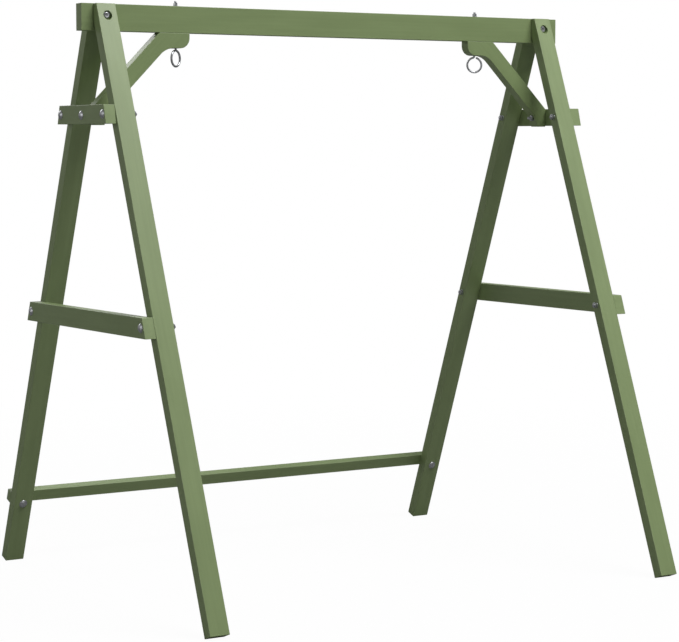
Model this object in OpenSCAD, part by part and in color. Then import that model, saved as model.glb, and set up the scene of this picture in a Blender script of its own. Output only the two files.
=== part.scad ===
// A-frame stand for a hanging swing: two pairs of leaning legs carry one beam,
// side braces tie each pair, knee braces stiffen the beam, and an eye bolt
// through each knee brace takes the swing's chain. +X runs along the beam, the
// rail is at the back (+Y), and the origin is on the ground under the beam.

/* [Stand] */
// Height of the beam's top above the ground
stand_h = 1900; // [1550:10:2300]
// Distance over the outer faces of the two leg pairs
frame_w = 1788; // [1400:2:2200]
// Lean of every leg from the vertical, in degrees
lean = 21; // [17:0.5:26]

/* [Boards] */
// Thickness of the planed board that all but the rail is cut from
stock = 38; // [31:1:46]
// Height of the beam
beam_h = 86; // [70:1:110]
// How far the beam runs past the outer faces of the legs at each end
beam_overhang = 43; // [20:1:120]
// Width of a leg across its face
leg_w = 67; // [55:1:90]
// Thickness left on a leg's tip, where its bevel meets the beam's top
leg_tip = 19; // [12:1:24]

/* [Side braces] */
// Depth of the upper brace's middle below the beam's top
upper_drop = 350; // [290:5:370]
// Height of the upper brace's section
upper_h = 60; // [48:1:80]
// Cut of the upper brace's ends from the vertical, in degrees
upper_cut = 15; // [0:1:20]
// Height of the mid brace's middle above the ground
mid_z = 900; // [500:10:1000]
// Height of the mid brace's section
mid_h = 64; // [48:1:90]
// Cut of the mid brace's ends from the vertical, in degrees
mid_cut = 20; // [0:1:25]

/* [Back rail] */
// Height of the rail's middle above the ground
rail_z = 230; // [120:5:400]
// Width of the rail, along the slope of the legs
rail_h = 41; // [34:1:60]
// Thickness of the rail, square to the legs
rail_t = 29; // [22:1:40]
// How far the rail's bolts pass below its middle, along the slope of the legs
rail_bolt_drop = 7; // [0:1:7]

/* [Knee braces] */
// Rise of a knee brace's straight run from the horizontal, in degrees
knee_angle = 45; // [43:1:48]
// Width of a knee brace across its straight run
knee_w = 52; // [42:1:62]
// Depth of the nose under the beam
nose_h = 49; // [40:1:59]
// Radius of the nose's lower corner
nose_r = 34; // [20:1:38]
// Length of the lower end, from the side brace to the corner under the straight run
knee_end = 51; // [46:1:56]
// Cut of the lower end from the upright, in degrees
knee_cut = 21; // [5:1:25]
// How far the lower end hangs below the upper side brace
knee_drop = 3; // [0:1:8]
// Radius of the inside curve between the nose and the straight run
knee_curve_r = 70; // [20:1:80]

/* [Eye bolts] */
// Distance of each eye in from the outer faces of the legs
eye_in = 301; // [292:1:330]
// Distance from an eye bolt to the tip of the nose it passes through
eye_to_nose = 42; // [34:1:48]
// Inside diameter of an eye
eye_bore = 44; // [36:1:54]
// Diameter of the wire that an eye is bent from
eye_wire = 7; // [6:0.5:8]
// Radius, at the middle of the wire, where the shank bends into the eye
eye_bend = 8; // [6:0.5:10]
// Angle from the top of an eye to the free end of its wire, in degrees
eye_gap = 15; // [15:1:30]
// Diameter of the rolled thread on an eye bolt
eye_thread = 8; // [8:0.5:10]
// How far an eye bolt stands above the beam
eye_end = 17; // [14:1:24]
// Width of an eye bolt's nut across its flats
eye_nut_af = 13; // [13:1:17]
// Height of an eye bolt's nut
eye_nut_h = 9; // [6:0.5:10]
// Running clearance around and above the pieces that turn with an eye
eye_clear = 0.3; // [0.2:0.05:0.5]
// Heading of the left eye at rest, in degrees
left_heading = 210; // [0:1:359]
// Heading of the right eye at rest, in degrees
right_heading = 338; // [0:1:359]

/* [Bolts] */
// Diameter of the bolts that join the boards
bolt_d = 10; // [8:1:12]
// Diameter of a round bolt head
head_d = 30; // [24:1:34]
// Rise of a round bolt head
head_h = 7; // [5:0.5:9]
// Play of a bolt in its hole, on the diameter
bolt_play = 1; // [0.6:0.1:1.5]
// Width of a nut or hexagon head across its flats
nut_af = 17; // [15:1:19]
// Height of a nut
nut_h = 8; // [6:0.5:10]
// Diameter of a washer
washer_d = 20; // [19:1:26]
// Thickness of a washer
washer_t = 2; // [1.5:0.5:3]
// How far a round-headed bolt sticks out past the face its washer sits on
bolt_end = 14; // [12:1:26]
// The same for the bolts into the knee braces
knee_bolt_end = 22; // [14:1:26]
// Depth of the bolts through the leg tips below the beam's top
tip_bolt_drop = 38; // [34:1:44]
// Diameter of the sunk seat around a bolt through the leg tips
sink_d = 30; // [27:1:34]
// Depth of that sunk seat, at the middle of the bolt
sink_depth = 14; // [13:1:16]
// How far the bolts through the leg tips stand out of their nuts
tip_bolt_end = 3; // [1:0.5:5]

/* [Hidden] */

paint = "#8c9c74";
zinc = "#9a9c9c";
$fn = 64;

LEFT = -1;
RIGHT = 1;
FRONT = -1;
BACK = 1;
ENDS = [LEFT, RIGHT];

// Places that several pieces share
half_w = frame_w / 2;              // outer faces of the legs, inner faces of the side braces
beam_z = stand_h - beam_h;         // underside of the beam
leg_x = half_w - leg_w / 2;        // middle of a leg pair
upper_z = stand_h - upper_drop;    // middle of the upper brace
eye_x = half_w - eye_in;
nose_z = beam_z - nose_h;          // flat underside of a knee brace's nose
brace_top = upper_z + upper_h / 2;
knee_rise = tan(knee_angle);
knee_depth = knee_w / cos(knee_angle);   // the straight run's width, measured upright
seat_top = brace_top - knee_depth + knee_end * knee_rise;
// The bolt into a knee brace keeps its washer below the corner, in a flat drilled for it
knee_bolt_z = min(upper_z, seat_top - washer_d / 2);
knee_flat_d = washer_d + 4;
flat_depth = 0.5;                  // of that flat, at its lowest point
knee_grip = knee_end - (seat_top - knee_bolt_z + knee_flat_d / 2) * tan(knee_cut) - flat_depth;
tip_bolt_z = stand_h - tip_bolt_drop;
hole_d = bolt_d + bolt_play;
eye_hole_d = eye_thread + 2 * eye_clear;
hex_head_h = bolt_d * 0.64;
cut = 1;                           // how far a cutter runs past the face it opens

// Distance of a leg's outer and inner faces from the middle plane, at a height
function leg_out(z) = stock / 2 + leg_tip + (stand_h - z) * tan(lean);
function leg_in(z) = leg_out(z) - stock / cos(lean);
function leg_mid(z) = (leg_out(z) + leg_in(z)) / 2;

// The feet are cut square to the legs, so each stands on its inner edge
foot_rise = stock * sin(lean);
// Where the side braces' bolts pass through a pair of legs, as y
function leg_pair_y(z) = [-leg_mid(z), leg_mid(z)];
// All the bolts in one side brace, as [y, z]
mid_bolts = [for (y = leg_pair_y(mid_z)) [y, mid_z]];
upper_bolts = concat([for (y = leg_pair_y(upper_z)) [y, upper_z]], [[0, knee_bolt_z]]);
// Height at which the upright bevel against the beam runs out
bevel_z = stand_h - (stock / cos(lean) - leg_tip) / tan(lean);
// Distance of a sunk seat in a leg's tip from the middle plane
sink_y = leg_out(tip_bolt_z) - sink_depth;

// ---- placing ----

// An outline drawn as [y, z], given thickness along x
module across_x(from, to) {
    translate([from, 0, 0]) rotate([90, 0, 90]) linear_extrude(to - from) children();
}

// An outline drawn as [x, z], given thickness along y
module across_y(from, to) {
    translate([0, to, 0]) rotate([90, 0, 0]) linear_extrude(to - from) children();
}

// A piece drawn along +Z, set on a face at x so that it points away from the middle
module facing_out(end, x, y, z) {
    translate([end * x, y, z]) rotate([0, end * 90, 0]) children();
}

// The same, but pointing towards the middle
module facing_in(end, x, y, z) {
    translate([end * x, y, z]) rotate([0, end * -90, 0]) children();
}

// A piece drawn along +Z, set square to a back leg's outer face: this far down the slope
// from the rail's middle, and this far above the face
module on_back_leg(x, down, above) {
    translate([x, leg_out(rail_z), rail_z]) rotate([lean - 90, 0, 0])
        translate([0, down, above]) children();
}

// ---- fasteners ----

// Round-headed bolt: its head sits on z = 0 and a square neck under it is drawn into the wood
module round_bolt(length) {
    // The head is a slice of a ball, thin at the rim
    ball_r = (head_d * head_d / 4 + head_h * head_h) / (2 * head_h);
    rotate_extrude() intersection() {
        translate([0, head_h - ball_r]) circle(ball_r, $fn = 128);
        square([head_d / 2, head_h]);
    }
    translate([0, 0, -bolt_d / 2]) linear_extrude(bolt_d / 2) square(bolt_d, center = true);
    translate([0, 0, -length]) cylinder(d = bolt_d, h = length);
}

// Hole for a round-headed bolt, with the square mouth for its neck
module round_bolt_hole(depth) {
    mouth = bolt_d + bolt_play / 2;
    translate([0, 0, -depth - cut]) cylinder(d = hole_d, h = depth + 2 * cut);
    translate([0, 0, -mouth / 2]) linear_extrude(mouth / 2 + cut) square(mouth, center = true);
}

// Hexagon with its corners turned off on both faces
module hexagon(af, high) {
    corner = af / cos(30) / 2;
    bevel = high / 8;
    intersection() {
        cylinder(r = corner, h = high, $fn = 6);
        rotate_extrude() polygon([[0, 0], [af / 2, 0], [corner, bevel],
            [corner, high - bevel], [af / 2, high], [0, high]]);
    }
}

// Nut for a thread of this diameter, sitting on z = 0
module nut(thread, af, high) {
    thread_play = 0.2;
    difference() {
        hexagon(af, high);
        translate([0, 0, -cut]) cylinder(d = thread + thread_play, h = high + 2 * cut);
    }
}

// Washer for a bolt of this diameter, lying on z = 0
module washer(bolt, out) {
    difference() {
        cylinder(d = out, h = washer_t);
        translate([0, 0, -cut]) cylinder(d = bolt + 1, h = washer_t + 2 * cut);
    }
}

// ---- boards ----

module top_beam() {
    beam_end = half_w + beam_overhang;
    color(paint) difference() {
        translate([-beam_end, -stock / 2, beam_z]) cube([2 * beam_end, stock, beam_h]);
        for (end = ENDS) {
            translate([end * leg_x, 0, tip_bolt_z]) rotate([90, 0, 0])
                cylinder(d = hole_d, h = stock + 2 * cut, center = true);
            translate([end * eye_x, 0, beam_z - cut]) cylinder(d = eye_hole_d, h = beam_h + 2 * cut);
        }
    }
}

// Outline of a front leg as [y, z]: square foot, upright bevel against the beam, level tip
module leg_outline() {
    polygon([[-leg_out(foot_rise), foot_rise], [-leg_in(0), 0], [-stock / 2, bevel_z],
        [-stock / 2, stand_h], [-leg_out(stand_h), stand_h]]);
}

// One leg; the holes for the side braces' bolts run along x, the tip bolt's along y
module leg(end, face) {
    color(paint) translate([end * leg_x, 0, 0]) difference() {
        mirror([0, face == BACK ? 1 : 0, 0]) difference() {
            across_x(-leg_w / 2, leg_w / 2) leg_outline();
            for (z = [upper_z, mid_z]) translate([0, -leg_mid(z), z]) rotate([0, 90, 0])
                cylinder(d = hole_d, h = leg_w + 2 * cut, center = true);
            translate([0, 0, tip_bolt_z]) rotate([90, 0, 0]) cylinder(d = hole_d, h = sink_y + cut);
            translate([0, -sink_y, tip_bolt_z]) rotate([90, 0, 0]) cylinder(d = sink_d, h = leg_tip * 2);
        }
        if (face == BACK) on_back_leg(0, rail_bolt_drop, -stock) rotate([180, 0, 0])
            round_bolt_hole(stock);
    }
}

// Side brace between a pair of legs, with its ends cut back from the legs' outer faces;
// its bolts are given as [y, z]
module side_brace(end, z, h, end_cut, bolts) {
    top = leg_out(z + h / 2);
    foot = top + h * tan(end_cut);
    color(paint) difference() {
        mirror([end == LEFT ? 1 : 0, 0, 0]) across_x(half_w, half_w + stock)
            polygon([[-foot, z - h / 2], [foot, z - h / 2], [top, z + h / 2], [-top, z + h / 2]]);
        for (bolt = bolts) facing_out(end, half_w + stock, bolt[0], bolt[1]) round_bolt_hole(stock);
    }
}

// Outline of the right knee brace as [x, z]
module knee_outline() {
    end_z = upper_z - upper_h / 2 - knee_drop;
    seat_x = half_w - knee_end;
    toe_x = seat_x + (seat_top - end_z) * tan(knee_cut);
    tip_x = eye_x - eye_to_nose;
    // Corner between the nose's flat underside and the straight run, filled by the inside curve
    corner_x = half_w - (nose_z - brace_top + knee_depth) / knee_rise;
    reach = knee_curve_r * tan(knee_angle / 2);
    difference() {
        union() {
            polygon([[tip_x, beam_z], [tip_x, nose_z + nose_r], [tip_x + nose_r, nose_z],
                [corner_x - reach, nose_z],
                [corner_x + reach * cos(knee_angle), nose_z - reach * sin(knee_angle)],
                [seat_x, seat_top], [toe_x, end_z], [half_w, end_z],
                [half_w, brace_top], [half_w - (beam_z - brace_top) / knee_rise, beam_z]]);
            intersection() {
                translate([tip_x + nose_r, nose_z + nose_r]) circle(nose_r, $fn = 128);
                translate([tip_x, nose_z]) square(nose_r);
            }
        }
        translate([corner_x - reach, nose_z - knee_curve_r]) circle(knee_curve_r, $fn = 128);
    }
}

module knee_brace(end) {
    color(paint) mirror([end == LEFT ? 1 : 0, 0, 0]) difference() {
        across_y(-stock / 2, stock / 2) knee_outline();
        facing_in(RIGHT, half_w + cut, 0, knee_bolt_z) cylinder(d = hole_d, h = knee_end + 2 * cut);
        facing_in(RIGHT, half_w - knee_grip, 0, knee_bolt_z) cylinder(d = knee_flat_d, h = knee_end);
        translate([eye_x, 0, nose_z - cut]) cylinder(d = eye_hole_d, h = nose_h + 2 * cut);
    }
}

module back_rail() {
    color(paint) difference() {
        on_back_leg(0, 0, 0) translate([-half_w, -rail_h / 2, 0]) cube([frame_w, rail_h, rail_t]);
        for (end = ENDS) on_back_leg(end * leg_x, rail_bolt_drop, -cut)
            cylinder(d = hole_d, h = rail_t + 2 * cut);
    }
}

// ---- eye bolts, which turn in the beam ----

// Bent from one wire: the eye lies in the x-z plane with its middle under the shank
module eye_bolt(end, heading) {
    eye_r = (eye_bore + eye_wire) / 2;
    // Where the bend out of the shank runs smoothly into the eye
    join = asin(eye_bend / (eye_r + eye_bend));
    bend_up = (eye_r + eye_bend) * cos(join);
    // The wire draws in a little around the tight bend, and the bend runs on into both neighbours
    drawn_in = 0.4;
    run_on = 2;
    thread_l = 40;
    color(zinc) translate([end * eye_x, 0, nose_z]) rotate([0, 0, heading]) {
        translate([0, 0, -bend_up]) rotate([90, 0, 0])
            rotate_extrude(start = 90 + join, angle = 360 - join - eye_gap)
                translate([eye_r, 0]) circle(d = eye_wire);
        translate([-eye_bend, 0, 0]) rotate([90, 0, 0])
            rotate_extrude(start = join - 90 - run_on, angle = 90 - join + 2 * run_on)
                translate([eye_bend, 0]) circle(d = eye_wire - drawn_in);
        cylinder(d = eye_wire, h = nose_h + beam_h);
        translate([0, 0, nose_h + beam_h + eye_end - thread_l]) cylinder(d = eye_thread, h = thread_l);
    }
}

module eye_nut(end, heading) {
    color(zinc) translate([end * eye_x, 0, stand_h + washer_t + eye_clear]) rotate([0, 0, heading])
        nut(eye_thread, eye_nut_af, eye_nut_h);
}

module eye_washers() {
    color(zinc) for (end = ENDS) translate([end * eye_x, 0, stand_h])
        washer(eye_thread, eye_nut_af + 5);
}

// ---- bolts through the leg tips and the beam, in sunk seats ----

// Sets a piece drawn along +Z on the sunk seat of a front or back leg, pointing outward
module at_leg_tip(end, face) {
    translate([end * leg_x, face * sink_y, tip_bolt_z]) rotate([face * -90, 0, 0]) children();
}

module leg_tip_bolts() {
    shank = 2 * sink_y + 2 * washer_t + nut_h + tip_bolt_end;
    color(zinc) for (end = ENDS) at_leg_tip(end, FRONT) translate([0, 0, washer_t]) {
        hexagon(nut_af, hex_head_h);
        translate([0, 0, -shank]) cylinder(d = bolt_d, h = shank);
    }
}

module leg_tip_nuts() {
    color(zinc) for (end = ENDS) at_leg_tip(end, BACK) translate([0, 0, washer_t])
        nut(bolt_d, nut_af, nut_h);
}

module leg_tip_washers() {
    color(zinc) for (end = ENDS, face = [FRONT, BACK]) at_leg_tip(end, face) washer(bolt_d, washer_d);
}

// ---- bolts through the side braces ----

module brace_bolts(z) {
    color(zinc) for (end = ENDS, y = leg_pair_y(z))
        facing_out(end, half_w + stock, y, z) round_bolt(stock + leg_w + bolt_end);
}

module brace_washers(z) {
    color(zinc) for (end = ENDS, y = leg_pair_y(z))
        facing_in(end, half_w - leg_w, y, z) washer(bolt_d, washer_d);
}

module brace_nuts(z) {
    color(zinc) for (end = ENDS, y = leg_pair_y(z))
        facing_in(end, half_w - leg_w - washer_t, y, z) nut(bolt_d, nut_af, nut_h);
}

module knee_bolts() {
    color(zinc) for (end = ENDS)
        facing_out(end, half_w + stock, 0, knee_bolt_z) round_bolt(stock + knee_grip + knee_bolt_end);
}

module knee_washers() {
    color(zinc) for (end = ENDS) facing_in(end, half_w - knee_grip, 0, knee_bolt_z)
        washer(bolt_d, washer_d);
}

module knee_nuts() {
    color(zinc) for (end = ENDS) facing_in(end, half_w - knee_grip - washer_t, 0, knee_bolt_z)
        nut(bolt_d, nut_af, nut_h);
}

// ---- bolts through the back legs and the rail ----

module rail_bolts() {
    color(zinc) for (end = ENDS) on_back_leg(end * leg_x, rail_bolt_drop, -stock)
        rotate([180, 0, 0]) round_bolt(stock + rail_t + bolt_end);
}

module rail_washers() {
    color(zinc) for (end = ENDS) on_back_leg(end * leg_x, rail_bolt_drop, rail_t)
        washer(bolt_d, washer_d);
}

module rail_nuts() {
    color(zinc) for (end = ENDS) on_back_leg(end * leg_x, rail_bolt_drop, rail_t + washer_t)
        nut(bolt_d, nut_af, nut_h);
}

top_beam();
leg(LEFT, FRONT);  // front_left_leg
leg(RIGHT, FRONT);  // front_right_leg
leg(LEFT, BACK);  // back_left_leg
leg(RIGHT, BACK);  // back_right_leg
side_brace(LEFT, upper_z, upper_h, upper_cut, upper_bolts);  // left_upper_brace
side_brace(RIGHT, upper_z, upper_h, upper_cut, upper_bolts);  // right_upper_brace
side_brace(LEFT, mid_z, mid_h, mid_cut, mid_bolts);  // left_mid_brace
side_brace(RIGHT, mid_z, mid_h, mid_cut, mid_bolts);  // right_mid_brace
knee_brace(LEFT);  // left_knee_brace
knee_brace(RIGHT);  // right_knee_brace
back_rail();
eye_bolt(LEFT, left_heading);  // left_eye_bolt
eye_bolt(RIGHT, right_heading);  // right_eye_bolt
eye_nut(LEFT, left_heading);  // left_eye_nut
eye_nut(RIGHT, right_heading);  // right_eye_nut
eye_washers();
leg_tip_bolts();
leg_tip_nuts();
leg_tip_washers();
brace_bolts(upper_z);  // upper_brace_bolts
brace_nuts(upper_z);  // upper_brace_nuts
brace_washers(upper_z);  // upper_brace_washers
brace_bolts(mid_z);  // mid_brace_bolts
brace_nuts(mid_z);  // mid_brace_nuts
brace_washers(mid_z);  // mid_brace_washers
knee_bolts();
knee_nuts();
knee_washers();
rail_bolts();
rail_nuts();
rail_washers();
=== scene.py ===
import math

import bmesh
import bpy
from mathutils import Matrix, Vector


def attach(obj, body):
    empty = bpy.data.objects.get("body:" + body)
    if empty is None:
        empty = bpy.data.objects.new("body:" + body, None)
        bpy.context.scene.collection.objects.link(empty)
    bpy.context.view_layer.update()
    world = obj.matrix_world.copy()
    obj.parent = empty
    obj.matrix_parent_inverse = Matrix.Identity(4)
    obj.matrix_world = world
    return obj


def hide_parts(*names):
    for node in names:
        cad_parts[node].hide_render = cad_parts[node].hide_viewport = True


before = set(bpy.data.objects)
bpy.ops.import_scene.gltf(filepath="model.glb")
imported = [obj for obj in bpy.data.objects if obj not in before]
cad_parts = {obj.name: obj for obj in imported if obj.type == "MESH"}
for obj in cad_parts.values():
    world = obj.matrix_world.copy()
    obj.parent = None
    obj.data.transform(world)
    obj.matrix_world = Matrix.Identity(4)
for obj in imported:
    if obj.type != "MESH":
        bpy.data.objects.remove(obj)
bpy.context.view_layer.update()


# ---- Top beam ----
# One planed softwood board set on edge, sawn square at both ends and painted all over.
# Its edges are eased, and a hole for an eye bolt runs down through it near each end.

beam_end = 0.937
beam_bottom, beam_top = 1.814, 1.9
board_t = 0.038
eased_r = 0.0015
curve_step = math.radians(12)
eye_x = 0.593
eye_hole_r = 0.0043
drill_past = 0.01

sage_light = (0.263, 0.345, 0.156, 1.0)
sage_deep = (0.231, 0.306, 0.135, 1.0)
# Paler green for the painted highlight along the eased edges
sage_edge_highlight = (0.335, 0.410, 0.240, 1.0)


def new_group(name, labels):
    """A shader node group that takes a Vector and gives numbers with these labels."""
    group = bpy.data.node_groups.new(name, "ShaderNodeTree")
    group.interface.new_socket("Vector", in_out="INPUT", socket_type="NodeSocketVector")
    for label in labels:
        group.interface.new_socket(label, in_out="OUTPUT", socket_type="NodeSocketFloat")
    takes, gives = group.nodes.new("NodeGroupInput"), group.nodes.new("NodeGroupOutput")
    return group, takes.outputs["Vector"], gives.inputs


def stretched_noise(tree, vector, stretch, scale, detail, roughness):
    """Noise drawn out along a board: stretch is how the vector's X, Y and Z are squeezed."""
    squeeze = tree.nodes.new("ShaderNodeVectorMath")
    squeeze.operation = "MULTIPLY"
    squeeze.inputs[1].default_value = stretch
    tree.links.new(vector, squeeze.inputs[0])
    noise = tree.nodes.new("ShaderNodeTexNoise")
    noise.inputs["Scale"].default_value = scale
    noise.inputs["Detail"].default_value = detail
    noise.inputs["Roughness"].default_value = roughness
    tree.links.new(squeeze.outputs[0], noise.inputs["Vector"])
    return noise.outputs["Fac"]


def math_node(tree, operation, first, second):
    """One Math node; first and second are sockets or numbers."""
    node = tree.nodes.new("ShaderNodeMath")
    node.operation = operation
    for socket, value in zip(node.inputs, (first, second)):
        if isinstance(value, (int, float)):
            socket.default_value = value
        else:
            tree.links.new(value, socket)
    return node.outputs[0]


def weighted(tree, first, second, share):
    """Two values added up, with this share of the first and the rest of the second."""
    return math_node(tree, "ADD", math_node(tree, "MULTIPLY", first, share),
                     math_node(tree, "MULTIPLY", second, 1 - share))


def remap(tree, value, low, high, to_low, to_high):
    """A Map Range node from low..high to to_low..to_high, held at its ends."""
    node = tree.nodes.new("ShaderNodeMapRange")
    tree.links.new(value, node.inputs["Value"])
    for label, number in zip(("From Min", "From Max", "To Min", "To Max"),
                             (low, high, to_low, to_high)):
        node.inputs[label].default_value = number
    return node.outputs[0]


def mix_colours(tree, factor, first, second):
    """A Mix node for two colours, each a socket or an RGBA."""
    node = tree.nodes.new("ShaderNodeMix")
    node.data_type = "RGBA"
    tree.links.new(factor, node.inputs[0])
    for socket, value in zip((node.inputs[6], node.inputs[7]), (first, second)):
        if isinstance(value, tuple):
            socket.default_value = value
        else:
            tree.links.new(value, socket)
    return node.outputs[2]


def make_grain_group():
    """Planed softwood seen through paint: the streaks run along the vector's Z."""
    group, vector, gives = new_group("grain_under_paint", ("Tone", "Height"))
    streaks = stretched_noise(group, vector, (1.0, 1.0, 0.035), 95.0, 4.0, 0.6)
    ridges = stretched_noise(group, vector, (1.0, 1.0, 0.010), 520.0, 2.0, 0.5)
    boards = stretched_noise(group, vector, (1.0, 1.0, 0.22), 16.0, 2.0, 0.5)
    group.links.new(weighted(group, streaks, boards, 0.45), gives["Tone"])
    group.links.new(weighted(group, streaks, ridges, 0.65), gives["Height"])
    return group


def make_coat_group():
    """A sprayed satin coat: fine orange peel, and broad patches a little duller than the rest."""
    group, vector, gives = new_group("satin_coat", ("Dullness", "Peel"))
    broad = stretched_noise(group, vector, (1.0, 1.0, 0.5), 7.0, 3.0, 0.6)
    fine = stretched_noise(group, vector, (1.0, 1.0, 0.6), 260.0, 2.0, 0.5)
    peel = stretched_noise(group, vector, (1.0, 1.0, 1.0), 900.0, 1.0, 0.5)
    group.links.new(weighted(group, broad, fine, 0.75), gives["Dullness"])
    group.links.new(peel, gives["Peel"])
    return group


def new_material(name):
    """A new material, its node tree and its Principled shader."""
    material = bpy.data.materials.new(name)
    material.use_nodes = True
    return material, material.node_tree, material.node_tree.nodes["Principled BSDF"]


def use_group(tree, group, vector):
    """A group's node in a material, given the places that its pattern follows."""
    node = tree.nodes.new("ShaderNodeGroup")
    node.node_tree = group
    tree.links.new(vector, node.inputs["Vector"])
    return node


def raise_surface(tree, shader, height, strength, distance):
    """Gives a shader's surface a bump from a height."""
    bump = tree.nodes.new("ShaderNodeBump")
    bump.inputs["Strength"].default_value = strength
    bump.inputs["Distance"].default_value = distance
    tree.links.new(height, bump.inputs["Height"])
    tree.links.new(bump.outputs["Normal"], shader.inputs["Normal"])


grain_group = make_grain_group()
coat_group = make_coat_group()


def sage_paint(name, turn, shift):
    """Sage-green paint on a board: turn brings the board's length onto Z for the grain, and
    shift moves the pattern, so that no two boards show the same streaks."""
    material, tree, shader = new_material(name)
    place = tree.nodes.new("ShaderNodeTexCoord")
    mapping = tree.nodes.new("ShaderNodeMapping")
    mapping.inputs["Rotation"].default_value = turn
    mapping.inputs["Location"].default_value = shift
    tree.links.new(place.outputs["Object"], mapping.inputs["Vector"])
    grain = use_group(tree, grain_group, mapping.outputs["Vector"])
    coat = use_group(tree, coat_group, mapping.outputs["Vector"])
    # Painted highlight: the colour is paler over the eased edges, standing in for the sheen that
    # light makes on their rounding
    eased_edge_highlight = tree.nodes.new("ShaderNodeAttribute")
    eased_edge_highlight.attribute_name = "eased_edge_highlight"
    painted_edge_highlight = math_node(tree, "MULTIPLY", eased_edge_highlight.outputs["Fac"],
                     remap(tree, coat.outputs["Dullness"], 0.35, 0.65, 0.1, 0.5))
    body = mix_colours(tree, remap(tree, grain.outputs["Tone"], 0.36, 0.64, 0.0, 1.0),
                       sage_deep, sage_light)
    tree.links.new(mix_colours(tree, painted_edge_highlight, body, sage_edge_highlight), shader.inputs["Base Color"])
    tree.links.new(remap(tree, coat.outputs["Dullness"], 0.3, 0.7, 0.34, 0.44),
                   shader.inputs["Roughness"])
    shader.inputs["IOR"].default_value = 1.48
    relief = weighted(tree, grain.outputs["Height"], coat.outputs["Peel"], 0.8)
    raise_surface(tree, shader, relief, strength=0.30, distance=0.0006)
    return material


def finish_piece(piece, material, node, body):
    """Gives a piece its finish and the body it rides, and hides the CAD node that it stands for."""
    piece.data.materials.clear()
    piece.data.materials.append(material)
    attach(piece, body)
    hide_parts(node)


def object_from(bm, name):
    """A new object from a bmesh, with its normals facing out."""
    bmesh.ops.recalc_face_normals(bm, faces=bm.faces)
    mesh = bpy.data.meshes.new(name)
    bm.to_mesh(mesh)
    bm.free()
    piece = bpy.data.objects.new(name, mesh)
    bpy.context.scene.collection.objects.link(piece)
    return piece


def eased_board(name, outline, faces, lay):
    """A board sawn to an outline of (a, b) points between two faces at c, with its edges eased.
    lay(a, b, c) gives a point's place. Edges that bend by no more than curve_step belong to a
    sawn curve and stay as they are. A point attribute marks the eased ones, where the paint gets a
    painted highlight."""
    bm = bmesh.new()
    near, far = [[bm.verts.new(lay(a, b, c)) for a, b in outline] for c in faces]
    bm.faces.new(near)
    bm.faces.new(far)
    for i in range(len(outline)):
        bm.faces.new((near[i - 1], near[i], far[i], far[i - 1]))
    bmesh.ops.recalc_face_normals(bm, faces=bm.faces)
    corners = [e for e in bm.edges if e.calc_face_angle() > curve_step]
    made = bmesh.ops.bevel(bm, geom=corners, offset=eased_r, offset_type="OFFSET", segments=3,
                           profile=0.5, affect="EDGES", clamp_overlap=True)
    strips = set(made["faces"])
    # Marks the points on the eased strips, where the paint is given a painted highlight
    edge_highlight_mark = bm.verts.layers.float.new("eased_edge_highlight")
    for v in bm.verts:
        v[edge_highlight_mark] = 1.0 if all(f in strips for f in v.link_faces) else 0.0
    for f in bm.faces:
        f.smooth = True
    piece = object_from(bm, name)
    flat = piece.modifiers.new("flat_faces", "WEIGHTED_NORMAL")
    flat.keep_sharp = True
    return piece


def lathe(rows, closed=False):
    """A bmesh turned about Z from rows, in order from one end. A row is (radius, height) or a
    function of the angle that gives them; radius 0 closes the shape on the axis."""
    steps = 48
    bm = bmesh.new()
    rings = []
    for row in rows:
        if not callable(row) and row[0] == 0:
            rings.append([bm.verts.new((0.0, 0.0, row[1]))])
            continue
        ring = []
        for i in range(steps):
            angle = 2 * math.pi * i / steps
            radius, height = row(angle) if callable(row) else row
            ring.append(bm.verts.new((radius * math.cos(angle), radius * math.sin(angle), height)))
        rings.append(ring)
    for low, high in zip(rings, rings[1:] + (rings[:1] if closed else [])):
        for i in range(steps):
            corners = (low[i - 1 if len(low) > 1 else 0], low[i if len(low) > 1 else 0],
                       high[i if len(high) > 1 else 0], high[i - 1 if len(high) > 1 else 0])
            bm.faces.new(list(dict.fromkeys(corners)))
    bmesh.ops.recalc_face_normals(bm, faces=bm.faces)
    return bm


def facing(point, direction):
    """The placing that sets a piece drawn along +Z at a point, pointing in a direction."""
    return Matrix.Translation(point) @ Vector(direction).to_track_quat("Z", "Y").to_matrix().to_4x4()


def drill(board, radius, start, end):
    """Bores a round hole from start to end. Its mouth at start is broken by a 45-degree cone."""
    flare, outside = 0.0008, 0.004
    deep = (end - start).length
    bit = object_from(lathe([(0, -outside), (radius + flare + outside, -outside), (radius, flare),
                             (radius, deep), (0, deep)]), "drill_bit")
    bit.matrix_world = facing(start, end - start)
    cut = board.modifiers.new("hole", "BOOLEAN")
    cut.object = bit
    cut.operation = "DIFFERENCE"
    cut.solver = "EXACT"
    depsgraph = bpy.context.evaluated_depsgraph_get()
    flat = board.modifiers.get("flat_faces")
    flat.show_viewport = False
    depsgraph.update()
    bored = bpy.data.meshes.new_from_object(board.evaluated_get(depsgraph))
    board.modifiers.remove(cut)
    flat.show_viewport = True
    board.data = bored
    bpy.data.objects.remove(bit)


beam = eased_board("beam", [(-beam_end, beam_bottom), (beam_end, beam_bottom),
                            (beam_end, beam_top), (-beam_end, beam_top)],
                   (-board_t / 2, board_t / 2), lambda x, z, y: (x, y, z))
for x in (-eye_x, eye_x):
    drill(beam, eye_hole_r, Vector((x, 0, beam_top)), Vector((x, 0, beam_bottom - drill_past)))
finish_piece(beam, sage_paint("beam_paint", (0, math.radians(90), 0), (0.3, 0.1, 0.0)),
             "top_beam", "stand")


# ---- Legs ----
# Four planed boards, each leaning in to the beam. The tips are bevelled upright against the
# beam and cut level with its top, the feet are sawn square, and a sunk seat takes the tip bolt.

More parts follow.
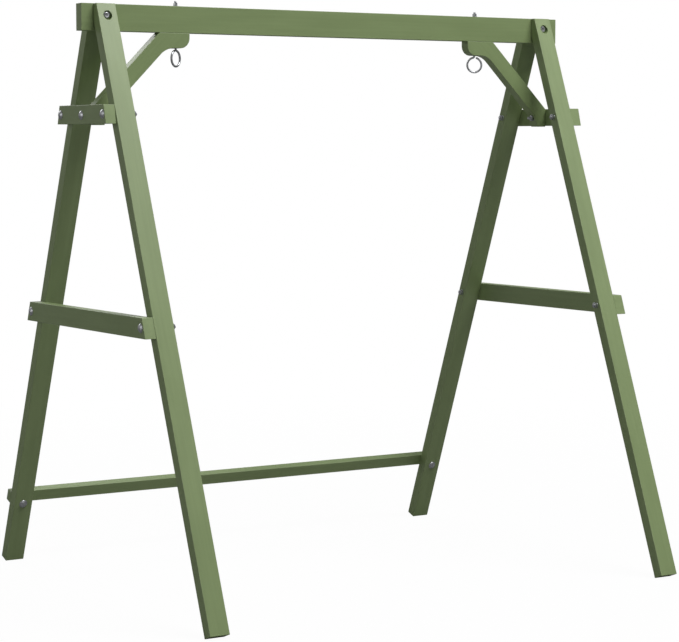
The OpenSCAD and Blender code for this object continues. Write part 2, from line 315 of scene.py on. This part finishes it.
lean = math.radians(21)
half_width = 0.894
leg_width = 0.067
tip_t = 0.019
leg_x = half_width - leg_width / 2
tip_bolt_z = 1.862
seat_r, seat_depth = 0.015, 0.014
drill_clear = 0.002
sides = (("left", -1), ("right", 1))


def leg_out(z):
    """Distance of a leg's outer face from the middle, at a height."""
    return board_t / 2 + tip_t + (beam_top - z) * math.tan(lean)


def leg_in(z):
    """Distance of a leg's inner face from the middle, at a height."""
    return leg_out(z) - board_t / math.cos(lean)


foot_rise = board_t * math.sin(lean)
bevel_z = beam_top - (board_t / math.cos(lean) - tip_t) / math.tan(lean)
seat_y = leg_out(tip_bolt_z) - seat_depth
seat_mouth_y = leg_out(tip_bolt_z - seat_r) + drill_clear
leg_outline = [(leg_out(foot_rise), foot_rise), (leg_in(0), 0), (board_t / 2, bevel_z),
               (board_t / 2, beam_top), (leg_out(beam_top), beam_top)]

for face, side_y in (("front", -1), ("back", 1)):
    leg_paint = sage_paint(f"{face}_leg_paint", (-side_y * lean, 0, 0), (0.7 * side_y, 0.4, 0.2))
    for side, side_x in sides:
        leg = eased_board(f"{face}_{side}_leg_board", leg_outline,
                          (side_x * leg_x - leg_width / 2, side_x * leg_x + leg_width / 2),
                          lambda y, z, x: (x, side_y * y, z))
        drill(leg, seat_r, Vector((side_x * leg_x, side_y * seat_mouth_y, tip_bolt_z)),
              Vector((side_x * leg_x, side_y * seat_y, tip_bolt_z)))
        finish_piece(leg, leg_paint, f"{face}_{side}_leg", "stand")


# ---- Side braces ----
# Boards bolted flat across the outside of each leg pair, an upper one just below the beam and
# a longer one at mid height. Their ends are sawn back so they stay inside the legs' slope.

upper_z, upper_h, upper_cut = 1.55, 0.060, math.radians(15)
mid_z, mid_h, mid_cut = 0.90, 0.064, math.radians(20)
brace_paint = sage_paint("brace_paint", (math.radians(90), 0, 0), (0.15, 0.9, 0.6))

for height, z, deep, end_cut in (("upper", upper_z, upper_h, upper_cut),
                                 ("mid", mid_z, mid_h, mid_cut)):
    top = leg_out(z + deep / 2)
    foot = top + deep * math.tan(end_cut)
    for side, side_x in sides:
        brace = eased_board(f"{side}_{height}_brace_board",
                            [(-foot, z - deep / 2), (foot, z - deep / 2),
                             (top, z + deep / 2), (-top, z + deep / 2)],
                            (side_x * half_width, side_x * (half_width + board_t)),
                            lambda y, z, x: (x, y, z))
        finish_piece(brace, brace_paint, f"{side}_{height}_brace", "stand")


# ---- Knee braces ----
# Each is sawn on a curve from one board: a flat-bottomed nose with a rounded corner under the
# beam, a straight run at 45 degrees, and a slanted lower end with a flat drilled for its nut.

knee_w = 0.052
knee_angle = math.radians(45)
knee_end, knee_cut = 0.051, math.radians(21)
knee_below = 0.003
knee_bolt_drop = 0.010
nose_h, nose_r = 0.049, 0.034
eye_to_nose = 0.042
inside_r = 0.070
flat_r, flat_depth = 0.012, 0.0005
flat_from = 0.090

nose_z = beam_bottom - nose_h
nose_tip = eye_x - eye_to_nose
knee_top = upper_z + upper_h / 2
knee_end_z = upper_z - upper_h / 2 - knee_below
slope = math.tan(knee_angle)
underside = knee_top - knee_w / math.cos(knee_angle)
cut_top = underside + knee_end * slope
toe_x = half_width - knee_end + (cut_top - knee_end_z) * math.tan(knee_cut)
knee_bolt_z = cut_top - knee_bolt_drop
knee_grip = knee_end - (knee_bolt_drop + flat_r) * math.tan(knee_cut) - flat_depth
inside_x = half_width - (nose_z - underside) / slope - inside_r * math.tan(knee_angle / 2)


def arc(x, z, radius, start, end, steps):
    """Points on an arc, angles in degrees from +X towards +Z, both ends included."""
    turns = [math.radians(start + (end - start) * i / steps) for i in range(steps + 1)]
    return [(x + radius * math.cos(t), z + radius * math.sin(t)) for t in turns]


knee_outline = ([(nose_tip, beam_bottom)]
                + arc(nose_tip + nose_r, nose_z + nose_r, nose_r, 180, 270, 16)
                + arc(inside_x, nose_z - inside_r, inside_r, 90, 90 - math.degrees(knee_angle), 12)
                + [(half_width - knee_end, cut_top), (toe_x, knee_end_z),
                   (half_width, knee_end_z), (half_width, knee_top),
                   (half_width - (beam_bottom - knee_top) / slope, beam_bottom)])

for side, side_x in sides:
    knee = eased_board(f"{side}_knee_board", knee_outline, (-board_t / 2, board_t / 2),
                       lambda x, z, y: (side_x * x, y, z))
    drill(knee, eye_hole_r, Vector((side_x * eye_x, 0, nose_z)),
          Vector((side_x * eye_x, 0, beam_bottom + drill_past)))
    drill(knee, flat_r, Vector((side_x * (half_width - flat_from), 0, knee_bolt_z)),
          Vector((side_x * (half_width - knee_grip), 0, knee_bolt_z)))
    knee_paint = sage_paint(f"{side}_knee_paint", (0, side_x * knee_angle, 0), (0.5, 0.2, side_x))
    finish_piece(knee, knee_paint, f"{side}_knee_brace", "stand")


# ---- Back rail ----
# A lighter board that ties the back legs together near the ground. It lies flat on their
# outer faces and leans with them, and its ends are sawn level with the legs' sides.

rail_z, rail_h, rail_t = 0.230, 0.041, 0.029


def on_back_leg(x, along, out):
    """A place on the back legs' outer plane by the rail: along it upward, and out from it."""
    return Vector((x, leg_out(rail_z) - along * math.sin(lean) + out * math.cos(lean),
                   rail_z + along * math.cos(lean) + out * math.sin(lean)))


rail = eased_board("rail_board", [(-half_width, -rail_h / 2), (half_width, -rail_h / 2),
                                  (half_width, rail_h / 2), (-half_width, rail_h / 2)],
                   (0.0, rail_t), on_back_leg)
finish_piece(rail, sage_paint("rail_paint", (0, math.radians(90), 0), (0.0, 0.6, 0.3)),
             "back_rail", "stand")


# ---- Bolts through the leg tips ----
# Zinc-plated hexagon bolts that clamp a front leg, the beam and a back leg together, each
# in a sunk seat with a washer under its head and another under its nut.

bolt_r = 0.005
thread_pitch, thread_depth = 0.0015, 0.0006
rows_per_turn = 6
washer_t, washer_r = 0.002, 0.010
nut_flats, nut_h = 0.017, 0.008
hex_round = 0.95
hex_head_h, hex_head_dish = 0.0064, 0.0004
tip_bolt_past, tip_thread = 0.003, 0.026
zinc_bright = (0.54, 0.55, 0.57, 1.0)
zinc_dull = (0.36, 0.37, 0.385, 1.0)


def make_plating_group():
    """Plated zinc: cloudy patches, and fine scratches from handling."""
    group, vector, gives = new_group("zinc_plating", ("Cloud", "Scratch"))
    cloud = stretched_noise(group, vector, (1.0, 1.0, 1.0), 180.0, 4.0, 0.6)
    scratch = stretched_noise(group, vector, (1.0, 0.06, 1.0), 1600.0, 2.0, 0.6)
    group.links.new(cloud, gives["Cloud"])
    group.links.new(scratch, gives["Scratch"])
    return group


def make_zinc():
    """Bright zinc plating, a little cloudy."""
    material, tree, shader = new_material("zinc_plate")
    place = tree.nodes.new("ShaderNodeTexCoord")
    plating = use_group(tree, make_plating_group(), place.outputs["Object"])
    tree.links.new(mix_colours(tree, remap(tree, plating.outputs["Cloud"], 0.35, 0.65, 0.0, 1.0),
                               zinc_dull, zinc_bright), shader.inputs["Base Color"])
    tree.links.new(remap(tree, plating.outputs["Cloud"], 0.3, 0.7, 0.42, 0.28),
                   shader.inputs["Roughness"])
    shader.inputs["Metallic"].default_value = 1.0
    raise_surface(tree, shader, plating.outputs["Scratch"], strength=0.15, distance=0.00005)
    return material


zinc = make_zinc()


def fasteners(name, bm, places, node, body="stand"):
    """Copies one fastener to each of its places, as one piece."""
    one = bpy.data.meshes.new(name)
    for f in bm.faces:
        f.smooth = True
    bm.to_mesh(one)
    bm.free()
    together = bmesh.new()
    for place in places:
        copy = one.copy()
        copy.transform(place)
        together.from_mesh(copy)
        bpy.data.meshes.remove(copy)
    bpy.data.meshes.remove(one)
    piece = object_from(together, name)
    piece.data.set_sharp_from_angle(angle=math.radians(32))
    finish_piece(piece, zinc, node, body)


def thread_rows(low, high):
    """Lathe rows for a bolt's rolled thread from low up to high."""
    def row(height):
        def at(angle):
            phase = (height / thread_pitch - angle / (2 * math.pi)) % 1.0
            return bolt_r - thread_depth * abs(2 * phase - 1), height
        return at
    count = round((high - low) / thread_pitch * rows_per_turn)
    return [row(low + (high - low) * i / count) for i in range(count + 1)]


def hexagon_side(flats, height_at):
    """A row that follows a hexagon; height_at(drop) gives its height from how far the cone
    that turns the corners off has fallen there."""
    def at(angle):
        from_flat = (angle + math.pi / 6) % (math.pi / 3) - math.pi / 6
        radius = flats / 2 / math.cos(from_flat)
        return radius, height_at((radius - flats / 2 * hex_round) * math.tan(math.radians(30)))
    return at


def hexagon_rows(flats, high):
    """Rows up the outside of a hexagon with its corners turned off at both ends."""
    return [(flats / 2 * hex_round, 0.0), hexagon_side(flats, lambda drop: drop),
            hexagon_side(flats, lambda drop: high - drop), (flats / 2 * hex_round, high)]


def nut_mesh(thread_r, flats, high):
    """A plain hexagon nut standing on z = 0, its bore broken at both ends."""
    bore, broken = thread_r + 0.0001, 0.0008
    return lathe([(bore, broken), (bore + broken, 0.0)] + hexagon_rows(flats, high)
                 + [(bore + broken, high), (bore, high - broken)], closed=True)


def washer_mesh(thread_r, out_r):
    """A stamped washer: its top edge is rounded over and its bottom edge is sharp."""
    bore = thread_r + 0.0005
    return lathe([(bore, 0.0), (out_r, 0.0), (out_r, washer_t * 0.6),
                  (out_r - washer_t * 0.12, washer_t * 0.88), (out_r - washer_t * 0.4, washer_t),
                  (bore + washer_t * 0.3, washer_t), (bore, washer_t * 0.7)], closed=True)


def rod_rows(length, threaded):
    """Rows from the tip of a bolt this long, below z = 0, up its thread to its plain shank."""
    lead, runout = 0.0012, 0.0005
    return ([(0, -length), (bolt_r - lead, -length)]
            + thread_rows(-length + lead * 0.7, -length + threaded)
            + [(bolt_r, -length + threaded + runout), (bolt_r, 0.0)])


tip_bolt_length = 2 * seat_y + 2 * washer_t + nut_h + tip_bolt_past
hex_bolt = lathe(rod_rows(tip_bolt_length, tip_thread) + hexagon_rows(nut_flats, hex_head_h)
                 + [(nut_flats / 2 * 0.80, hex_head_h),
                    (nut_flats / 2 * 0.72, hex_head_h - hex_head_dish),
                    (0, hex_head_h - hex_head_dish)])
ends = (-leg_x, leg_x)
fasteners("tip_bolts", hex_bolt,
          [facing((x, -seat_y - washer_t, tip_bolt_z), (0, -1, 0)) for x in ends], "leg_tip_bolts")
fasteners("tip_nuts", nut_mesh(bolt_r, nut_flats, nut_h),
          [facing((x, seat_y + washer_t, tip_bolt_z), (0, 1, 0)) for x in ends], "leg_tip_nuts")
fasteners("tip_washers", washer_mesh(bolt_r, washer_r),
          [facing((x, s * seat_y, tip_bolt_z), (0, s, 0)) for x in ends for s in (-1, 1)],
          "leg_tip_washers")


# ---- Bolts through the side braces, knee braces and rail ----
# Zinc-plated round-headed bolts, each with a washer and a nut on the far side and a length of
# bare thread beyond the nut. The braces' go in from outside the legs, the rail's from inside.

head_r, head_h = 0.015, 0.007
round_thread = 0.034
bolt_past, knee_bolt_past = 0.014, 0.022
rail_bolt_drop = 0.007


def leg_mid(z):
    """Distance of a leg's middle from the middle of the stand, at a height."""
    return (leg_out(z) + leg_in(z)) / 2


def round_bolt(length):
    """A round-headed bolt whose head sits on z = 0. The head is part of a ball, with a low rim."""
    ball_r = (head_r ** 2 + head_h ** 2) / (2 * head_h)
    rim_r = head_r - 0.0003
    rim = [(rim_r - 0.0004, 0.0), (rim_r, 0.0003), (rim_r - 0.0003, 0.0009)]
    dome_radii = [rim_r * math.cos(math.radians(t)) for t in range(20, 90, 10)]
    dome = [(r, head_h - ball_r + math.sqrt(ball_r ** 2 - r ** 2)) for r in dome_radii]
    return lathe(rod_rows(length, round_thread) + rim + dome + [(0, head_h)])


def bolt_set(label, length, heads, washers, nuts):
    """A set of round-headed bolts with their washers and nuts, each at its own placings."""
    fasteners(f"{label}_round_bolts", round_bolt(length), heads, f"{label}_bolts")
    fasteners(f"{label}_plain_washers", washer_mesh(bolt_r, washer_r), washers, f"{label}_washers")
    fasteners(f"{label}_hex_nuts", nut_mesh(bolt_r, nut_flats, nut_h), nuts, f"{label}_nuts")


def brace_bolts(label, bolts, nut_x, past):
    """The bolts through one height of side brace, left and right: bolts are (y, z), and they
    end this far past the face at nut_x that their washers sit on."""
    out = half_width + board_t
    spots = [(s, y, z) for s in (-1, 1) for y, z in bolts]
    bolt_set(label, out - nut_x + past,
             [facing((s * out, y, z), (s, 0, 0)) for s, y, z in spots],
             [facing((s * nut_x, y, z), (-s, 0, 0)) for s, y, z in spots],
             [facing((s * (nut_x - washer_t), y, z), (-s, 0, 0)) for s, y, z in spots])


leg_side = half_width - leg_width
brace_bolts("upper_brace", [(s * leg_mid(upper_z), upper_z) for s in (-1, 1)], leg_side, bolt_past)
brace_bolts("mid_brace", [(s * leg_mid(mid_z), mid_z) for s in (-1, 1)], leg_side, bolt_past)
brace_bolts("knee", [(0.0, knee_bolt_z)], half_width - knee_grip, knee_bolt_past)

out_of_leg = (0, math.cos(lean), math.sin(lean))
into_leg = (0, -math.cos(lean), -math.sin(lean))
bolt_set("rail", board_t + rail_t + bolt_past,
         [facing(on_back_leg(x, -rail_bolt_drop, -board_t), into_leg) for x in ends],
         [facing(on_back_leg(x, -rail_bolt_drop, rail_t), out_of_leg) for x in ends],
         [facing(on_back_leg(x, -rail_bolt_drop, rail_t + washer_t), out_of_leg) for x in ends])


# ---- Eye bolts ----
# Each is bent from one zinc-plated wire: a round eye, a short bend back under the shank, and a
# shank that turns in the knee brace and beam, with a nut over a washer on the beam.

wire_r, eye_r, bend_r = 0.0035, 0.0255, 0.008
eye_thread_r, eye_thread_length = 0.004, 0.040
eye_pitch, eye_thread_depth = 0.00125, 0.0006
eye_past = 0.017
eye_nut_flats, eye_nut_h = 0.013, 0.009
eye_washer_r = 0.009
eye_gap = 15
eye_clear = 0.0003
cut_edge = 0.0008
shank_length = nose_h + (beam_top - beam_bottom) + eye_past


def eye_bolt_mesh():
    """An eye bolt whose shank leaves the knee brace at the origin, with its eye in the x-z plane."""
    join = math.degrees(math.asin(bend_r / (eye_r + bend_r)))
    eye_z = -(eye_r + bend_r) * math.cos(math.radians(join))
    eye = arc(0.0, eye_z, eye_r, 450 - eye_gap, 90 + join, 72)
    bend = arc(-bend_r, 0.0, bend_r, join - 90, 0, 12)[1:]
    # The path's points are (x, z, radius, depth of thread)
    smooth, runout = shank_length - eye_thread_length, 0.0005
    threaded = eye_thread_length - runout - cut_edge
    count = round(threaded / eye_pitch * rows_per_turn)
    path = [(x, z, wire_r, 0.0) for x, z in eye + bend]
    path += [(0.0, smooth * i / 8, wire_r, 0.0) for i in range(1, 9)]
    path += [(0.0, smooth + runout + threaded * i / count, eye_thread_r, eye_thread_depth)
             for i in range(count + 1)]
    steps = 32
    bm = bmesh.new()
    rings = []
    for i, (x, z, radius, depth) in enumerate(path):
        before, after = path[max(i - 1, 0)], path[min(i + 1, len(path) - 1)]
        along = Vector((after[0] - before[0], 0, after[1] - before[1])).normalized()
        across = along.cross(Vector((0, 1, 0)))
        ring = []
        for k in range(steps):
            angle = 2 * math.pi * k / steps
            phase = (z / eye_pitch + angle / (2 * math.pi)) % 1.0
            outward = math.cos(angle) * across + math.sin(angle) * Vector((0, 1, 0))
            ring.append(bm.verts.new(Vector((x, 0, z))
                                     + (radius - depth * abs(2 * phase - 1)) * outward))
        rings.append(ring)
    for low, high in zip(rings, rings[1:]):
        for k in range(steps):
            bm.faces.new((low[k - 1], low[k], high[k], high[k - 1]))
    # Both ends are cut off with a broken edge
    for ring, end, inner in ((rings[0], path[0], path[1]), (rings[-1], path[-1], path[-2])):
        middle = Vector((end[0], 0, end[1]))
        out = Vector((end[0] - inner[0], 0, end[1] - inner[1])).normalized() * cut_edge
        lip = [bm.verts.new(middle + (v.co - middle) * (1 - cut_edge / end[2]) + out) for v in ring]
        tip = bm.verts.new(middle + out)
        for k in range(steps):
            bm.faces.new((ring[k - 1], ring[k], lip[k], lip[k - 1]))
            bm.faces.new((lip[k - 1], lip[k], tip))
    return bm


for side, side_x, heading in (("left", -1, 210), ("right", 1, 338)):
    turn = Matrix.Rotation(math.radians(heading), 4, "Z")
    fasteners(f"{side}_eye", eye_bolt_mesh(),
              [Matrix.Translation((side_x * eye_x, 0, nose_z)) @ turn],
              f"{side}_eye_bolt", f"{side}_eye")
    fasteners(f"{side}_eye_hex_nut", nut_mesh(eye_thread_r, eye_nut_flats, eye_nut_h),
              [Matrix.Translation((side_x * eye_x, 0, beam_top + washer_t + eye_clear)) @ turn],
              f"{side}_eye_nut", f"{side}_eye")
fasteners("eye_plain_washers", washer_mesh(eye_thread_r, eye_washer_r),
          [facing((x, 0, beam_top), (0, 0, 1)) for x in (-eye_x, eye_x)], "eye_washers")


# ---- Floor, light and camera ----
# A pale matt floor that fades out to white. A large soft light stands high at the front right
# with a small one below it, and others in front, to the left and behind. A long lens looks
# slightly down on the stand.

floor_r = 60.0
fade_from, fade_to = 1.6, 5.0


def floor_material():
    """Matt white that returns little light to the stand, fading out to plain white far off."""
    material, tree, shader = new_material("floor_white")
    shader.inputs["Base Color"].default_value = (0.82, 0.82, 0.82, 1.0)
    shader.inputs["Roughness"].default_value = 0.9
    shader.inputs["Specular IOR Level"].default_value = 0.1
    quiet = tree.nodes.new("ShaderNodeBsdfDiffuse")
    quiet.inputs["Color"].default_value = (0.27, 0.27, 0.27, 1.0)
    bright = tree.nodes.new("ShaderNodeEmission")
    bright.inputs["Strength"].default_value = 1.0
    place = tree.nodes.new("ShaderNodeTexCoord")
    reach = tree.nodes.new("ShaderNodeVectorMath")
    reach.operation = "LENGTH"
    tree.links.new(place.outputs["Object"], reach.inputs[0])
    fade = remap(tree, reach.outputs["Value"], fade_from, fade_to, 0.97, 1.0)
    seen = tree.nodes.new("ShaderNodeMixShader")
    tree.links.new(fade, seen.inputs[0])
    tree.links.new(shader.outputs[0], seen.inputs[1])
    tree.links.new(bright.outputs[0], seen.inputs[2])
    ray = tree.nodes.new("ShaderNodeLightPath")
    both = tree.nodes.new("ShaderNodeMixShader")
    tree.links.new(ray.outputs["Is Camera Ray"], both.inputs[0])
    tree.links.new(quiet.outputs[0], both.inputs[1])
    tree.links.new(seen.outputs[0], both.inputs[2])
    tree.links.new(both.outputs[0], tree.nodes["Material Output"].inputs["Surface"])
    return material


floor_bm = bmesh.new()
bmesh.ops.create_circle(floor_bm, cap_ends=True, segments=96, radius=floor_r)
floor = object_from(floor_bm, "floor")
floor.data.materials.append(floor_material())

world = bpy.data.worlds.new("studio")
bpy.context.scene.world = world
world.use_nodes = True
sky = world.node_tree
sky_ray = sky.nodes.new("ShaderNodeLightPath")


def sky_of(strength):
    """A plain white surround of this strength."""
    white = sky.nodes.new("ShaderNodeBackground")
    white.inputs["Color"].default_value = (1.0, 1.0, 1.0, 1.0)
    white.inputs["Strength"].default_value = strength
    return white.outputs[0]


def sky_for(ray, others, seen):
    """Mixes in the surround that this kind of ray meets."""
    mix = sky.nodes.new("ShaderNodeMixShader")
    sky.links.new(sky_ray.outputs[ray], mix.inputs[0])
    sky.links.new(others, mix.inputs[1])
    sky.links.new(seen, mix.inputs[2])
    return mix.outputs[0]


# Little stray light, a pale tent for the metal to mirror, and plain white behind it all
tent = sky_for("Is Glossy Ray", sky_of(0.015), sky_of(0.22))
surround = sky_for("Is Camera Ray", tent, sky_of(1.0))
sky.links.new(surround, sky.nodes["World Output"].inputs["Surface"])


def soft_light(name, place, aim, width, height, watts):
    """A rectangular soft light at a place, turned towards a point."""
    data = bpy.data.lights.new(name, "AREA")
    data.shape = "RECTANGLE"
    data.size, data.size_y = width, height
    data.energy = watts
    light = bpy.data.objects.new(name, data)
    bpy.context.scene.collection.objects.link(light)
    light.location = place
    light.rotation_euler = (Vector(aim) - Vector(place)).to_track_quat("-Z", "Y").to_euler()


soft_light("key", (2.6, -4.7, 9.5), (0.0, 0.0, 1.2), 6.0, 4.0, 945.0)
soft_light("sheen", (5.6, -5.0, 5.6), (0.4, 0.0, 1.5), 2.5, 1.2, 26.0)
soft_light("front_fill", (-1.5, -11.0, 3.0), (0.0, 0.0, 1.0), 6.0, 4.0, 75.0)
soft_light("left_fill", (-7.0, 0.0, 2.5), (0.0, 0.0, 1.2), 5.0, 4.0, 66.0)
soft_light("back_low", (-5.0, 8.0, 1.6), (0.0, 0.0, 1.2), 8.0, 5.0, 24.0)
soft_light("back_high", (0.0, 7.0, 5.5), (0.0, 0.0, 1.5), 8.0, 3.0, 215.0)

camera_data = bpy.data.cameras.new("camera")
camera_data.sensor_width = 36.0
camera_data.lens = 117.2105
camera_data.shift_x, camera_data.shift_y = -0.00019, -0.00075
camera_data.clip_end = 200.0
camera = bpy.data.objects.new("camera", camera_data)
bpy.context.scene.collection.objects.link(camera)
camera.location = (-3.9680, -6.3841, 1.4646)
yaw, pitch, roll = -0.5598, -0.0808, -0.0007
look = Vector((-math.sin(yaw) * math.cos(pitch), math.cos(yaw) * math.cos(pitch), math.sin(pitch)))
level = Vector((math.cos(yaw), math.sin(yaw), 0.0))
upright = level.cross(look)
right = math.cos(roll) * level + math.sin(roll) * upright
above = -math.sin(roll) * level + math.cos(roll) * upright
camera.rotation_mode = "QUATERNION"
camera.rotation_quaternion = Matrix((right, above, -look)).transposed().to_quaternion()
bpy.context.scene.camera = camera
bpy.context.scene.view_settings.view_transform = "Standard"
